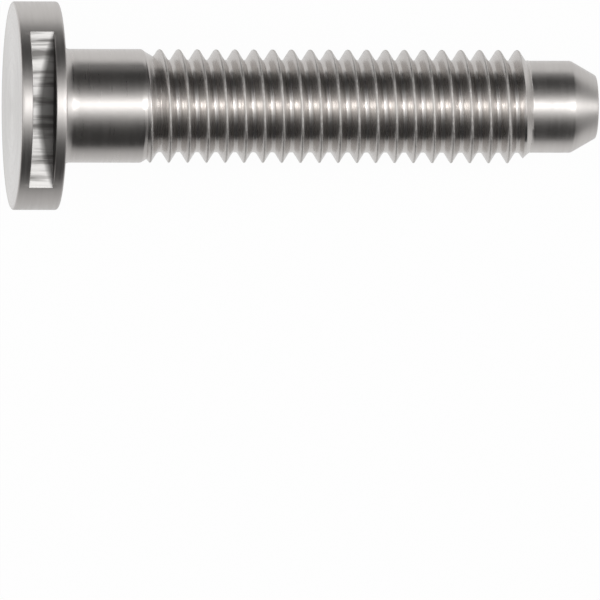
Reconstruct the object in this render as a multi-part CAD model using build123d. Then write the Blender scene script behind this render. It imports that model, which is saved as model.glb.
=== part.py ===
from build123d import *
import math
import os

# A turned M6 cheese head screw: a thin round head with one slot milled into its rim, a plain shank, a
# right-hand thread that runs out on the shank, and a full dog point. It is one piece of bright steel.
# The screw is drawn along Z, from the bearing face under its head at z = 0 to its tip, with the slot on
# the +X side of the head. At the end it is laid down the way that it comes to rest on a table.

# Head, in millimetres
head_d = 11.0
head_height = 2.4
head_edge_break = 0.12

# The cone that strengthens the corner under the head
under_head_rise = 0.3
under_head_run = 0.55

# Slot: a straight, flat-floored cut across the rim, with a web of the head left on each side of it
slot_width = 1.25
slot_depth = 1.85
slot_to_front_face = 0.58

# Plain shank, which slopes down to the thread's core at its end
shank_d = 6.0
plain_length = 4.4
run_out_angle = 30.0

# Thread: its flanks meet in fine edges, at its crests a little under the shank and at its roots
thread_d = 5.98
thread_core_d = 4.88
thread_pitch = 1.0
thread_end_angle = 45.0
thread_lead_in = 0.66

# Dog point: turned a little under the thread's roots, with a long lead chamfer
dog_d = 4.86
dog_length = 3.56
dog_chamfer = 0.77
dog_chamfer_angle = 30.0
length_under_head = 28.6

# How far the slot leans from straight up, about the screw's own axis, as the screw lies
slot_lean = 3.3

head_r = head_d / 2
shank_r = shank_d / 2
thread_r = thread_d / 2
core_r = thread_core_d / 2
dog_r = dog_d / 2
thread_end = length_under_head - dog_length
thread_start = plain_length - thread_lead_in

# The turns of the thread are laid round a bar a little under their roots, and sink into it by as much again
bar_r = core_r - thread_pitch / 12
foot_r = core_r - thread_pitch / 6


def run(rise, angle):
    """Length along the axis of a slope that rises this much at this angle to the axis."""
    return rise / math.tan(math.radians(angle))


def turned_blank():
    """Head, shank, the bar inside the thread and a thick end for the dog, in one half section."""
    return revolve(
        make_face(
            Plane.XZ
            * Polyline(
                (0, -head_height),
                (head_r - head_edge_break, -head_height),
                (head_r, -head_height + head_edge_break),
                (head_r, -head_edge_break),
                (head_r - head_edge_break, 0),
                (shank_r + under_head_rise, 0),
                (shank_r, under_head_run),
                (shank_r, plain_length),
                (bar_r, plain_length + run(shank_r - bar_r, run_out_angle)),
                (bar_r, thread_end),
                (thread_r, thread_end),
                (thread_r, length_under_head),
                (0, length_under_head),
                close=True,
            )
        ),
        Axis.Z,
    )


def thread_turns():
    """The helical ridge one turn after another, each as wide as the pitch, from inside the plain shank."""
    half_pitch = thread_pitch / 2
    ridge_section = make_face(
        Plane.XZ
        * Polyline(
            (foot_r, thread_start - half_pitch),
            (core_r, thread_start - half_pitch),
            (thread_r, thread_start),
            (core_r, thread_start + half_pitch),
            (foot_r, thread_start + half_pitch),
            close=True,
        )
    )
    helix = Pos(0, 0, thread_start) * Helix(thread_pitch, thread_pitch, core_r)
    turn = sweep(ridge_section, path=helix, is_frenet=True)
    turns = math.ceil((thread_end - thread_start) / thread_pitch + 1)
    return [Pos(0, 0, i * thread_pitch) * turn for i in range(turns)]


def point_cutter():
    """What is turned away round the end: it chamfers the thread and leaves the dog and its lead chamfer."""
    clear = thread_pitch * 2
    dog_end = length_under_head - run(dog_chamfer, dog_chamfer_angle)
    return revolve(
        make_face(
            Plane.XZ
            * Polyline(
                (dog_r + clear, thread_end - run(clear, thread_end_angle)),
                (dog_r, thread_end),
                (dog_r, dog_end),
                (dog_r - 2 * dog_chamfer, dog_end + run(2 * dog_chamfer, dog_chamfer_angle)),
                (dog_r + clear, dog_end + run(2 * dog_chamfer, dog_chamfer_angle)),
                close=True,
            )
        ),
        Axis.Z,
    )


def rim_slot():
    """The cut across the rim, open to the +X side."""
    middle = -head_height + slot_to_front_face + slot_width / 2
    return Pos(head_r, 0, middle) * Box(2 * slot_depth, head_d, slot_width)


def lying_down(screw):
    """Tip to +X and down, so that the head's rear edge and the thread's last full crest meet the table."""
    full_thread_end = thread_end - run(thread_r - dog_r, thread_end_angle)
    droop = math.atan2(head_r - thread_r, full_thread_end + head_edge_break)
    along = Vector(math.cos(droop), 0, -math.sin(droop))
    up = Vector(math.sin(droop), 0, math.cos(droop))
    laid = Plane(origin=(0, 0, 0), x_dir=up, z_dir=along) * Rot(0, 0, slot_lean) * screw
    box = laid.bounding_box()
    return Pos(-box.center().X, -box.center().Y, -box.min.Z) * laid


screw = turned_blank() + thread_turns() - point_cutter() - rim_slot()
screw = lying_down(screw)

os.makedirs("parts", exist_ok=True)
export_step(screw, "parts/screw.step")
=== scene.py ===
import math

import bmesh
import bpy
import numpy as np
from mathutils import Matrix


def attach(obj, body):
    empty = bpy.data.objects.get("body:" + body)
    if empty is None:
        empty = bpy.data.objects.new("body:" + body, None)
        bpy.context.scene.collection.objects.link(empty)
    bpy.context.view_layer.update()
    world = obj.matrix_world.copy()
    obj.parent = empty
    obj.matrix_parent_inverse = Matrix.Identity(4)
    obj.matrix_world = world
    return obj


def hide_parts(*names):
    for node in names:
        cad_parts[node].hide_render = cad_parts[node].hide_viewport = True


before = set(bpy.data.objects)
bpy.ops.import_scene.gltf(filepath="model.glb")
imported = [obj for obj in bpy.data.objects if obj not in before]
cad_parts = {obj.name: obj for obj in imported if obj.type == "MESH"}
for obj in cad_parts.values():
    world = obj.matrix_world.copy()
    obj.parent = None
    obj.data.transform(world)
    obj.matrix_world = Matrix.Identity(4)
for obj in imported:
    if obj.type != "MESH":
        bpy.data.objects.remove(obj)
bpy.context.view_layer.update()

# The screw: one piece of bright free-cutting steel. The head, shank and dog point are turned, the thread is
# cut with a single-point tool, and the slot is milled straight across the rim. Nothing is plated or
# painted. Sizes are in millimetres, and heights run along the axis from the bearing face under the head.
HEAD_R, HEAD_HEIGHT, HEAD_ROUND = 5.5, 2.4, 0.12
SLOT_WIDTH, SLOT_DEPTH, SLOT_WEB, SLOT_BURR = 1.25, 1.85, 0.58, 0.035
CONE_RISE, CONE_RUN, CONE_ROUND = 0.3, 0.55, 0.04
SHANK_R, SHANK_END, SLOPE_30 = 3.0, 4.4, math.tan(math.radians(30))
DOG_R, DOG_LENGTH, DOG_CHAMFER, TIP = 2.43, 3.56, 0.77, 28.6
CREST_R, ROOT_R, PITCH, HELIX_START = 2.99, 2.44, 1.0, 3.685

# Half the crest's land, half the whole crest, the drop at its edge, half the root's land, and its rounding
CREST_FLAT, CREST_EDGE, CREST_DROP, ROOT_FLAT, ROOT_ROUND = 0.02, 0.05, 0.018, 0.055, 0.11

# Heights and radii that follow from those sizes
SLOT_FRONT = SLOT_WEB - HEAD_HEIGHT
SLOT_BACK = SLOT_FRONT + SLOT_WIDTH
SLOT_FLOOR_R = HEAD_R - SLOT_DEPTH
THREAD_END = TIP - DOG_LENGTH
DOG_EDGE = TIP - DOG_CHAMFER / SLOPE_30
TIP_R = DOG_R - DOG_CHAMFER

# How it lies on the table: on the rear edge of the head's rim and on the last full crest, with the middle
# of its length over the origin, and with its slot a little off the top
DROOP = math.atan2(HEAD_R - CREST_R, THREAD_END - (CREST_R - DOG_R) + HEAD_ROUND)
SLOT_LEAN = math.radians(3.3)
AXIS = np.array([math.cos(DROOP), 0, -math.sin(DROOP)])
UP = np.array([math.sin(DROOP), 0, math.cos(DROOP)])
SIDE = np.array([0, -1, 0])
FRONT_EDGE = -HEAD_HEIGHT * AXIS - (HEAD_R - HEAD_ROUND) * UP
REST_EDGE = -HEAD_ROUND * AXIS - HEAD_R * UP
TIP_EDGE = TIP * AXIS + TIP_R * UP
BEARING_FACE = np.array([-(FRONT_EDGE[0] + TIP_EDGE[0]) / 2, 0, -REST_EDGE[2]])

# The mesh: its columns round the axis, the places of rings that carry a plain face on or ease an edge, and
# the distance in metres below which two points are one
COLUMNS, SLOT_ROWS, SHANK_STEP, SHARP_EDGE = 240, 6, 0.3, math.radians(32)
FACE_RINGS, BEARING_RINGS, END_RINGS = (1.4, 2.8, 4.2, 5.0, 5.3), (5.2, 4.5, 3.8), (1.1, 0.5)
FRONT_WEB_RING, BACK_WEB_RING = SLOT_FRONT - 0.4, SLOT_BACK + 0.3
THREAD_ROWS_START, THREAD_ROWS_END = SHANK_END - 0.05, THREAD_END + 0.3
DOG_RINGS, CHAMFER_RINGS = (25.6, 26.0, 26.4, 26.8, DOG_EDGE - 0.06), TIP - np.array([0.9, 0.06])
DOG_EASE, TIP_EASE = (DOG_EDGE + 0.05, DOG_R - 0.03), (TIP - 0.015, TIP_R - 0.005)
TIP_FACE_R, SAME_PLACE, NO_LENGTH = TIP_R - 0.05, 2e-7, 1e-8


def rings_at(heights, radii):
    """Rings as rows of height and radius. Either may be one value for all of them."""
    return np.stack(np.broadcast_arrays(heights, radii), axis=1)


def head_and_shank():
    """The plain rings before the slot, from the front face to the rim, and those after it, from the rim
    over the bearing face and the cone to the shank. Each edge of the head is a quarter circle:
    round * (1 - cos q) from one face and round * (1 - sin q) from the other. The cone's radius is the
    shank's + rise * (1 - height / run)."""
    quarter = np.radians([0, 22.5, 45, 67.5, 90])
    near, far = HEAD_ROUND * (1 - np.cos(quarter)), HEAD_ROUND * (1 - np.sin(quarter))
    cone = np.array([CONE_ROUND, CONE_RUN - CONE_ROUND])
    front = [
        rings_at(-HEAD_HEIGHT, FACE_RINGS),
        rings_at(near - HEAD_HEIGHT, HEAD_R - far),
        rings_at((FRONT_WEB_RING, SLOT_FRONT - SLOT_BURR), HEAD_R),
    ]
    back = [
        rings_at((SLOT_BACK + SLOT_BURR, BACK_WEB_RING), HEAD_R),
        rings_at(-far, HEAD_R - near),
        rings_at(0.0, (*BEARING_RINGS, SHANK_R + CONE_RISE + CONE_ROUND)),
        rings_at(cone, SHANK_R + CONE_RISE * (1 - cone / CONE_RUN)),
        rings_at(np.arange(CONE_RUN + CONE_ROUND, SHANK_END, SHANK_STEP), SHANK_R),
    ]
    return np.concatenate(front), np.concatenate(back)


def dog_point():
    """The rings along the dog, down its lead chamfer and over its end face. The chamfer's radius is the
    tip's + (tip - height) * tan 30, and one more ring eases each of its two edges."""
    return np.concatenate([
        rings_at(DOG_RINGS, DOG_R),
        [DOG_EASE],
        rings_at(CHAMFER_RINGS, TIP_R + (TIP - CHAMFER_RINGS) * SLOPE_30),
        [TIP_EASE],
        rings_at(TIP, (TIP_FACE_R, *END_RINGS)),
    ])


def column_angles():
    """Even angles round the axis, with the nearest ones moved on to the two ends of the slot's floor."""
    t = np.linspace(0, 2 * np.pi, COLUMNS + 1)
    end = math.acos(SLOT_FLOOR_R / HEAD_R)
    for corner in (end, 2 * np.pi - end):
        t[np.abs(t - corner).argmin()] = corner
    return t


def plain_rows(rings, t):
    """Each ring as a row of heights and a row of radii, the same at all angles."""
    return np.repeat(rings[:, :, None], len(t), axis=2)


def slot_rows(t):
    """Rows through the slot: inside it the radius is the flat floor's, floor / cos t, outside it the rim's.
    The walls are the two places where the radius changes at one height, each under a small burr."""
    inside = np.cos(t) * HEAD_R > SLOT_FLOOR_R
    floor = np.where(inside, SLOT_FLOOR_R / np.where(inside, np.cos(t), 1), HEAD_R)
    lip = np.maximum(floor, HEAD_R - SLOT_BURR)
    rim = np.full_like(t, HEAD_R)
    rows = [(SLOT_FRONT - SLOT_BURR, rim), (SLOT_FRONT, lip)]
    rows += [(height, floor) for height in np.linspace(SLOT_FRONT, SLOT_BACK, SLOT_ROWS)]
    rows += [(SLOT_BACK, lip), (SLOT_BACK + SLOT_BURR, rim)]
    return np.array([[np.full_like(t, height), radius] for height, radius in rows])


def thread_rows(t):
    """Rows that climb with the helix: z = start + pitch * (turn + share + t / 2 pi), held between the
    shank's end and the dog. The shares lie closest on the crest's land and on the root's rounding. From the
    edge of the nearest root's land the radius rises as a parabola, slope * d^2 / (2 * round), and then as
    the straight flank, slope * (d - round / 2), to the edge of the crest, which slopes up to the crest's
    land. It is at least the run-out cone's and at most the end chamfer's, which slopes at 45 degrees."""
    rising = [-0.5, -0.445, -0.41, -0.375, -0.335, -0.19, -0.05, -0.02]
    shares = np.array(rising + [-share for share in rising[:0:-1]])
    turns = np.arange(-1, math.ceil((THREAD_ROWS_END - HELIX_START) / PITCH) + 1)
    rise = (turns[:, None] + shares).reshape(-1, 1)
    z = HELIX_START + PITCH * (rise + t / (2 * np.pi))
    z = np.clip(z, THREAD_ROWS_START, THREAD_ROWS_END)
    away = np.abs(((z - HELIX_START) / PITCH - t / (2 * np.pi) + 0.5) % 1 - 0.5) * PITCH
    slope = (CREST_R - CREST_DROP - ROOT_R) / (PITCH / 2 - CREST_EDGE - ROOT_FLAT - ROOT_ROUND / 2)
    d = np.maximum(PITCH / 2 - away - ROOT_FLAT, 0)
    flank = ROOT_R + slope * np.where(d < ROOT_ROUND, d ** 2 / (2 * ROOT_ROUND), d - ROOT_ROUND / 2)
    land = CREST_R - CREST_DROP * np.maximum(away - CREST_FLAT, 0) / (CREST_EDGE - CREST_FLAT)
    ridge = np.where(away < CREST_EDGE, land, flank)
    run_out = np.minimum(SHANK_R, SHANK_R - (z - SHANK_END) * SLOPE_30)
    chamfer = DOG_R + np.maximum(THREAD_END - z, 0)
    return np.stack([z, np.minimum(np.maximum(ridge, run_out), chamfer)], axis=1)


def screw_skin():
    """Every row of heights and radii over the angles t, turned into points in metres: bearing face +
    axis * height + (up * cos(t + lean) + side * sin(t + lean)) * radius. Quads join the rows, and a fan
    closes each end at a point on the axis."""
    t = column_angles()
    front, back = head_and_shank()
    head, shank, dog = plain_rows(front, t), plain_rows(back, t), plain_rows(dog_point(), t)
    rows = np.concatenate([head, slot_rows(t), shank, thread_rows(t), dog])
    heights, radii = rows[:, 0, :, None], rows[:, 1, :, None]
    out = np.cos(t + SLOT_LEAN)[:, None] * UP + np.sin(t + SLOT_LEAN)[:, None] * SIDE
    skin = BEARING_FACE + heights * AXIS + radii * out
    ends = BEARING_FACE + np.array([[-HEAD_HEIGHT], [TIP]]) * AXIS
    i, j = np.meshgrid(np.arange(len(rows) - 1), np.arange(COLUMNS), indexing="ij")
    corner = (i * (COLUMNS + 1) + j).ravel()
    quads = np.stack([corner, corner + 1, corner + COLUMNS + 2, corner + COLUMNS + 1], axis=1)
    first = np.arange(COLUMNS)
    last = first + (len(rows) - 1) * (COLUMNS + 1)
    middle = np.full(COLUMNS, len(rows) * (COLUMNS + 1))
    head_fan = np.stack([first + 1, first, middle], axis=1)
    tip_fan = np.stack([last, last + 1, middle + 1], axis=1)
    points = np.concatenate([skin.reshape(-1, 3), ends]) / 1000
    return points, quads.tolist() + head_fan.tolist() + tip_fan.tolist()


def make_piece(name, points, faces):
    """A mesh object at the origin. Points that share a place are merged, which closes the seam and the
    slot's ends and drops the faces without area."""
    mesh = bpy.data.meshes.new(name)
    mesh.from_pydata(points.tolist(), [], faces)
    shape = bmesh.new()
    shape.from_mesh(mesh)
    bmesh.ops.remove_doubles(shape, verts=shape.verts, dist=SAME_PLACE)
    bmesh.ops.dissolve_degenerate(shape, dist=NO_LENGTH, edges=shape.edges)
    bmesh.ops.recalc_face_normals(shape, faces=shape.faces)
    shape.to_mesh(mesh)
    shape.free()
    mesh.shade_smooth()
    piece = bpy.data.objects.new(name, mesh)
    bpy.context.scene.collection.objects.link(piece)
    return piece


screw = make_piece("screw_turned", *screw_skin())
screw.data.set_sharp_from_angle(angle=SHARP_EDGE)


def linear(hex_colour):
    """An sRGB hex colour as linear red, green, blue and alpha: c / 12.92 up to 0.04045, and above that
    ((c + 0.055) / 1.055) ^ 2.4."""
    c = np.array([int(hex_colour[i:i + 2], 16) / 255 for i in (1, 3, 5)])
    return (*np.where(c <= 0.04045, c / 12.92, ((c + 0.055) / 1.055) ** 2.4), 1.0)


def add(tree, kind, settings=None, **links):
    """A node of this kind with its settings. Each further name is an input, or _ and its number, which is
    linked from the output given, or from the first output of the node given."""
    node = tree.nodes.new(kind)
    for name, value in (settings or {}).items():
        if isinstance(name, int) or name in node.inputs:
            node.inputs[name].default_value = value
        else:
            setattr(node, name, value)
    for name, source in links.items():
        key = int(name[1:]) if name[1:].isdigit() else name.replace("_", " ")
        output = source.outputs[0] if isinstance(source, bpy.types.Node) else source
        tree.links.new(output, node.inputs[key])
    return node


def new_material(name):
    """A material of this name with an empty node tree, and that tree."""
    material = bpy.data.materials.new(name)
    material.use_nodes = True
    material.node_tree.nodes.clear()
    return material, material.node_tree


def place_on_screw(tree):
    """Where a point of the surface lies, in metres: its vector from the middle of the bearing face, its
    height = axis . vector, its way round = axis x vector, and its radius = the length of its way round."""
    place = add(tree, "ShaderNodeTexCoord").outputs["Object"]
    vector = add(tree, "ShaderNodeVectorMath", {"operation": "SUBTRACT", 1: BEARING_FACE / 1000}, _0=place)
    height = add(tree, "ShaderNodeVectorMath", {"operation": "DOT_PRODUCT", 1: AXIS}, _0=vector)
    way_round = add(tree, "ShaderNodeVectorMath", {"operation": "CROSS_PRODUCT", 0: AXIS}, _1=vector)
    radius = add(tree, "ShaderNodeVectorMath", {"operation": "LENGTH"}, _0=way_round)
    return vector, height.outputs["Value"], way_round, radius.outputs["Value"]


# Bright turned steel: satin grey. The rings that the tool leaves draw every highlight out across them. They
# are about 0.06 mm apart, drawn twice as coarse so that they show. The front face and the thread's flanks
# are cut smoother than the shank, and the rim and the dog are duller.
FEED, RING_DEPTH, RING_CHANGE, FINE_CUT = 0.12e-3, 0.9e-6, (0.05, 0.05, 0.05), 0.25
WAVE, WAVE_SHARE, SMOOTHEST, DULLEST = 0.5e-3, 4.0, 0.27, 0.37
FACE_CUT_START, FACE_CUT_END = 0.05 - HEAD_HEIGHT, 0.01 - HEAD_HEIGHT
steel, tree = new_material("bright_turned_steel")
vector, height, way_round, radius = place_on_screw(tree)
normal = add(tree, "ShaderNodeNewGeometry").outputs["Normal"]
across_rings = add(tree, "ShaderNodeVectorMath", {"operation": "CROSS_PRODUCT"}, _0=way_round, _1=normal)
ring = add(tree, "ShaderNodeCombineXYZ", X=height, Y=radius)
ring = add(tree, "ShaderNodeVectorMath", {"operation": "MULTIPLY_ADD", 1: RING_CHANGE}, _0=vector, _2=ring)
rings = add(tree, "ShaderNodeTexNoise", {"Scale": 1 / FEED, "Detail": 2.0}, Vector=ring)
waves = add(tree, "ShaderNodeTexNoise", {"Scale": 1 / WAVE, "Detail": 3.0}, Vector=vector)
relief = add(tree, "ShaderNodeMath", {"operation": "MULTIPLY_ADD", 1: WAVE_SHARE}, _0=waves, _2=rings)
depth = add(tree, "ShaderNodeMapRange", {"From Min": FACE_CUT_END / 1000, "From Max": FACE_CUT_START / 1000,
            "To Min": FINE_CUT * RING_DEPTH, "To Max": RING_DEPTH}, Value=height)
bump = add(tree, "ShaderNodeBump", {"Strength": 1.0}, Height=relief, Distance=depth)
satin = add(tree, "ShaderNodeMapRange", {"From Min": 0.3, "From Max": 0.7, "To Min": SMOOTHEST,
            "To Max": DULLEST}, Value=rings)

# Where each of those finishes starts, where it is full, and how much rougher it is there
for place, start, full, change in (
    (radius, HEAD_R - 0.3, HEAD_R - 0.05, 0.08),
    (height, SHANK_END, SHANK_END + 0.3, -0.04),
    (height, THREAD_END - 0.04, THREAD_END + 0.06, 0.1),
    (height, FACE_CUT_START, FACE_CUT_END, -0.15),
):
    patch = add(tree, "ShaderNodeMapRange", {"From Min": start / 1000, "From Max": full / 1000,
                "To Max": change}, Value=place)
    satin = add(tree, "ShaderNodeMath", {"operation": "ADD"}, _0=satin, _1=patch)
shader = add(tree, "ShaderNodeBsdfPrincipled", {"Base Color": linear("#D0CCC9"), "Metallic": 1.0,
             "Anisotropic": 0.6}, Roughness=satin, Normal=bump, Tangent=across_rings)
add(tree, "ShaderNodeOutputMaterial", Surface=shader)
screw.data.materials.append(steel)

# Milled steel in the slot: the cutter chattered, so its floor carries bars straight across, one or two to
# the millimetre, with finer scratches between them. The walls are duller and carry painted shade, and a
# wedge of painted shadow lies along the rear wall, widest at the middle of the slot and ending at the rim.
CHATTER, CHATTER_DEPTH, BAR_STRETCH, SHADOW_SLOPE, SHADOW_COVER = 0.6e-3, 25e-6, 0.12, 0.43, 0.75
SHADOW_INSIDE, SHADOW_OUTSIDE, DULLER = -0.2e-3, 0.15e-3, 0.2
milled, tree = new_material("bright_milled_steel")
vector, height, way_round, radius = place_on_screw(tree)
place = add(tree, "ShaderNodeTexCoord").outputs["Object"]
place = add(tree, "ShaderNodeMapping", {"Scale": (BAR_STRETCH, 1.0, BAR_STRETCH)}, Vector=place)
bars = add(tree, "ShaderNodeTexNoise", {"Scale": 1 / CHATTER, "Detail": 3.0, "Roughness": 0.6}, Vector=place)
bump = add(tree, "ShaderNodeBump", {"Strength": 1.0, "Distance": CHATTER_DEPTH}, Height=bars)
# Painted shade on the slot's walls: the faces that lie across the axis are picked out to be darkened
normal = add(tree, "ShaderNodeNewGeometry").outputs["True Normal"]
wall = add(tree, "ShaderNodeVectorMath", {"operation": "DOT_PRODUCT", 1: AXIS}, _0=normal)
wall = add(tree, "ShaderNodeMath", {"operation": "ABSOLUTE"}, _0=wall.outputs["Value"])

# The wedge of painted shadow has its front at height = slot back - slope * (head radius - radius)
wedge = add(tree, "ShaderNodeMath", {"operation": "MULTIPLY_ADD", 1: SHADOW_SLOPE,
            2: (SLOT_BACK - SHADOW_SLOPE * HEAD_R) / 1000}, _0=radius)
wedge = add(tree, "ShaderNodeMath", {"operation": "SUBTRACT"}, _0=wedge, _1=height)
painted_shadow = add(tree, "ShaderNodeMapRange", {"From Min": SHADOW_INSIDE, "From Max": SHADOW_OUTSIDE,
           "To Min": SHADOW_COVER, "To Max": 0.0}, Value=wedge)
# The painted shade on the walls and the painted shadow of the wedge pull the tone towards #4C4A48 and make
# it duller
painted_shade = add(tree, "ShaderNodeMath", {"operation": "MAXIMUM"}, _0=wall, _1=painted_shadow)
tone = add(tree, "ShaderNodeMapRange", {"From Min": 0.35, "From Max": 0.5}, Value=bars)
tone = add(tree, "ShaderNodeMix", {"data_type": "RGBA", 6: linear("#807E7C"), 7: linear("#D6D4D2")}, _0=tone)
tone = add(tree, "ShaderNodeMix", {"data_type": "RGBA", 7: linear("#4C4A48")}, _0=painted_shade, _6=tone.outputs[2])
dull = add(tree, "ShaderNodeMapRange", {"From Min": 0.3, "From Max": 0.7, "To Min": 0.38, "To Max": 0.28},
           Value=bars)
dull = add(tree, "ShaderNodeMath", {"operation": "MULTIPLY_ADD", 1: DULLER}, _0=painted_shade, _2=dull)
shader = add(tree, "ShaderNodeBsdfPrincipled", {"Metallic": 1.0}, Base_Color=tone.outputs[2], Roughness=dull,
             Normal=bump)
add(tree, "ShaderNodeOutputMaterial", Surface=shader)
screw.data.materials.append(milled)

# The thread's crests: thin lands of the same steel that the tool leaves torn and dull, so that each crest
# shows as a light line all the way round.
TEAR = 0.25e-3
crest, tree = new_material("torn_thread_crest")
place = add(tree, "ShaderNodeTexCoord").outputs["Object"]
torn = add(tree, "ShaderNodeTexNoise", {"Scale": 1 / TEAR, "Detail": 1.0}, Vector=place)
torn = add(tree, "ShaderNodeMapRange", {"From Min": 0.35, "From Max": 0.65}, Value=torn)
dull = add(tree, "ShaderNodeMapRange", {"To Min": 0.44, "To Max": 0.54}, Value=torn)
tone = add(tree, "ShaderNodeMix", {"data_type": "RGBA", 6: linear("#CCC8C4"), 7: linear("#E0DDDA")}, _0=torn)
shader = add(tree, "ShaderNodeBsdfPrincipled", {"Metallic": 1.0}, Base_Color=tone.outputs[2], Roughness=dull)
add(tree, "ShaderNodeOutputMaterial", Surface=shader)
screw.data.materials.append(crest)

# The slot's faces are those between its walls that lie inside the rim, and the crests' are the outermost
# ones past the thread's first turns
CLEAR, FIRST_CREST = 0.001, SHANK_END + 0.3
centres = np.empty(3 * len(screw.data.polygons))
screw.data.polygons.foreach_get("center", centres)
vectors = centres.reshape(-1, 3) * 1000 - BEARING_FACE
heights = vectors @ AXIS
radii = np.linalg.norm(np.cross(vectors, AXIS), axis=1)
in_slot = (heights > SLOT_FRONT - CLEAR) & (heights < SLOT_BACK + CLEAR) & (radii < HEAD_R - 5 * CLEAR)
on_crest = (heights > FIRST_CREST) & (heights < THREAD_END) & (radii > CREST_R - CREST_DROP)
screw.data.polygons.foreach_set("material_index", in_slot + 2 * on_crest)

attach(screw, "root")
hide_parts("screw")

# The floor: a plain sheet of white paper with a painted pool of light that falls off a few centimetres away.
# The camera sees it white all over, and the metal sees that painted fall-off. It keeps a faint shadow of the
# screw.
FLOOR_HALF, POOL_STRETCH, POOL_ASIDE = 3, 0.3, 0.01
POOL_LEVEL, POOL_RADIUS, POOL_REACH, PAPER_GLOW = 0.82, 0.016, 0.03, 0.97
floor_mesh = bpy.data.meshes.new("floor")
corners = [(x * FLOOR_HALF, y * FLOOR_HALF, 0) for x, y in ((-1, -1), (1, -1), (1, 1), (-1, 1))]
floor_mesh.from_pydata(corners, [], [(0, 1, 2, 3)])
floor = bpy.data.objects.new("floor", floor_mesh)
bpy.context.scene.collection.objects.link(floor)
paper, tree = new_material("white_matt_paper")

# The painted pool of light in its glow: level / (1 + away / reach), with away counted from the edge of its
# bright middle
place = add(tree, "ShaderNodeTexCoord").outputs["Object"]
away = add(tree, "ShaderNodeVectorMath", {"operation": "MULTIPLY_ADD", 1: (POOL_STRETCH, 1, 0),
           2: (0, -POOL_ASIDE, 0)}, _0=place)
away = add(tree, "ShaderNodeVectorMath", {"operation": "LENGTH"}, _0=away).outputs["Value"]
away = add(tree, "ShaderNodeMath", {"operation": "SUBTRACT", 1: POOL_RADIUS}, _0=away)
away = add(tree, "ShaderNodeMath", {"operation": "MAXIMUM", 1: 0.0}, _0=away)
away = add(tree, "ShaderNodeMath", {"operation": "MULTIPLY_ADD", 1: 1 / (POOL_REACH * POOL_LEVEL),
           2: 1 / POOL_LEVEL}, _0=away)
rays = add(tree, "ShaderNodeLightPath")
camera_ray, glossy_ray = rays.outputs["Is Camera Ray"], rays.outputs["Is Glossy Ray"]
pool = add(tree, "ShaderNodeMath", {"operation": "DIVIDE"}, _0=glossy_ray, _1=away)
seen = add(tree, "ShaderNodeMath", {"operation": "MAXIMUM"}, _0=camera_ray,
           _1=rays.outputs["Is Transmission Ray"])
share = add(tree, "ShaderNodeMath", {"operation": "MULTIPLY", 1: PAPER_GLOW}, _0=seen)
share = add(tree, "ShaderNodeMath", {"operation": "MAXIMUM"}, _0=share, _1=glossy_ray)
glow = add(tree, "ShaderNodeMath", {"operation": "MAXIMUM"}, _0=seen, _1=pool)
matt = add(tree, "ShaderNodeBsdfDiffuse", {"Color": linear("#F4F4F4")})
white = add(tree, "ShaderNodeEmission", {"Color": linear("#FFFFFF")}, Strength=glow)
mixed = add(tree, "ShaderNodeMixShader", _0=share, _1=matt, _2=white)
add(tree, "ShaderNodeOutputMaterial", Surface=mixed)
floor_mesh.materials.append(paper)

# The light: a long soft light overhead in line with the screw, fading past its head, with a narrow gap
# across it where the camera is. Dark cards stand along both sides, a pale wall behind and another past the
# tip, and a small round lamp shines from that end. The camera sees white in place of all these.
OVERHEAD, OVERHEAD_SIDE, SPREAD, NARROWEST, FALL_OFF = 1.7, 0.012, 0.62, 0.6, 3.0
GAP, FAR_END, CARDS, BACK_WALL, END_WALL = 0.06, 0.3, 0.045, 0.25, 0.4
scene = bpy.context.scene
world = bpy.data.worlds.new("studio")
scene.world = world
world.use_nodes = True
world.node_tree.nodes.clear()
tree = world.node_tree
place = add(tree, "ShaderNodeTexCoord").outputs["Generated"]
toward = add(tree, "ShaderNodeSeparateXYZ", _0=place).outputs

# Across the band the light is (1 + (aside / (width * spread)) ^ 2) ^ -fall off, narrowest at the horizon
aside = add(tree, "ShaderNodeMath", {"operation": "SUBTRACT", 1: OVERHEAD_SIDE}, _0=toward["Y"])
aside = add(tree, "ShaderNodeMath", {"operation": "ABSOLUTE"}, _0=aside)
width = add(tree, "ShaderNodeMath", {"operation": "MULTIPLY_ADD", 1: 1 - NARROWEST, 2: NARROWEST},
            _0=toward["Z"])
aside = add(tree, "ShaderNodeMath", {"operation": "DIVIDE"}, _0=aside, _1=width)
aside = add(tree, "ShaderNodeMath", {"operation": "POWER", 1: 2.0}, _0=aside)
aside = add(tree, "ShaderNodeMath", {"operation": "MULTIPLY_ADD", 1: 1 / SPREAD ** 2, 2: 1.0}, _0=aside)
level = add(tree, "ShaderNodeMath", {"operation": "POWER", 1: -FALL_OFF}, _0=aside)
endways = add(tree, "ShaderNodeMath", {"operation": "ABSOLUTE"}, _0=toward["X"])

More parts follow.
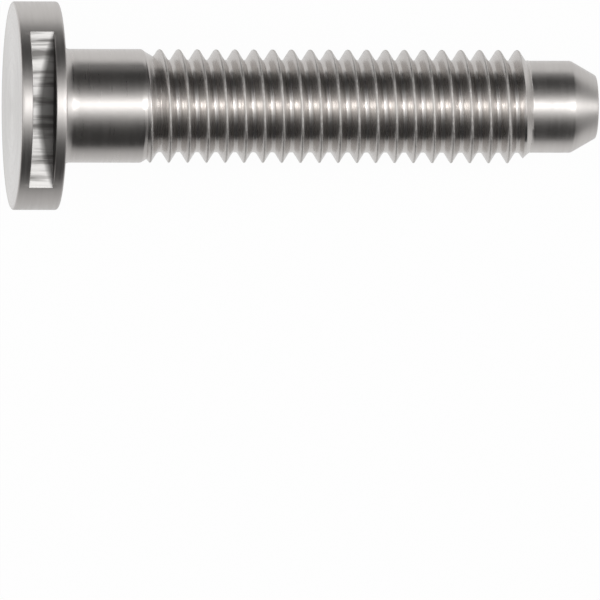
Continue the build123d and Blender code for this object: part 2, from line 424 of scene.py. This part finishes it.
# The gap and the fading end take from the band, and the walls stand beside it. Each comes in between two
# values of one component of the direction.
for place, start, end, low, high in (
    (endways, 0.03, 0.12, GAP * OVERHEAD, OVERHEAD),
    (toward["X"], -1.0, -0.8, FAR_END, 1.0),
):
    part = add(tree, "ShaderNodeMapRange", {"interpolation_type": "SMOOTHSTEP", "From Min": start,
               "From Max": end, "To Min": low, "To Max": high}, Value=place)
    level = add(tree, "ShaderNodeMath", {"operation": "MULTIPLY"}, _0=level, _1=part)
for place, start, end, wall in ((toward["Y"], 0.93, 1.0, BACK_WALL), (toward["X"], 0.65, 0.95, END_WALL)):
    part = add(tree, "ShaderNodeMapRange", {"interpolation_type": "SMOOTHSTEP", "From Min": start,
               "From Max": end, "To Min": CARDS, "To Max": wall}, Value=place)
    level = add(tree, "ShaderNodeMath", {"operation": "MAXIMUM"}, _0=level, _1=part)
camera_ray = add(tree, "ShaderNodeLightPath").outputs["Is Camera Ray"]
level = add(tree, "ShaderNodeMath", {"operation": "MAXIMUM"}, _0=level, _1=camera_ray)
studio = add(tree, "ShaderNodeBackground", {"Color": linear("#FFFFFF")}, Strength=level)
add(tree, "ShaderNodeOutputWorld", Surface=studio)

LAMP_PLACE, LAMP_SIZE, LAMP_POWER = (0.25, 0.026, 0.433), 0.1, 0.3
lamp = bpy.data.lights.new("key", "AREA")
lamp.shape, lamp.size, lamp.energy = "DISK", LAMP_SIZE, LAMP_POWER
holder = bpy.data.objects.new("key", lamp)
holder.location = LAMP_PLACE
holder.rotation_euler = (-holder.location).to_track_quat("-Z", "Y").to_euler()
scene.collection.objects.link(holder)

# The camera: a long lens far above the screw. It looks past it to one side, so that the screw lies along
# the top of the picture.
CAMERA_HEIGHT, PICTURE_WIDTH, SENSOR = 1.25, 0.03168, 36
AIM_X, AIM_Z, PAST_SCREW = -0.00002, 0.0045, 0.01026
TILT, ROLL = math.radians(0.637), math.radians(0.12)
lens = bpy.data.cameras.new("camera")
lens.sensor_width, lens.clip_start, lens.clip_end = SENSOR, 0.1, 10
lens.lens = SENSOR * CAMERA_HEIGHT / PICTURE_WIDTH
camera = bpy.data.objects.new("camera", lens)
camera.location = (AIM_X - CAMERA_HEIGHT * math.sin(TILT), 0, AIM_Z + CAMERA_HEIGHT * math.cos(TILT))
camera.rotation_euler = (-math.atan(PAST_SCREW / CAMERA_HEIGHT), -TILT, ROLL)
scene.collection.objects.link(camera)
scene.camera = camera

scene.view_settings.view_transform = "Standard"
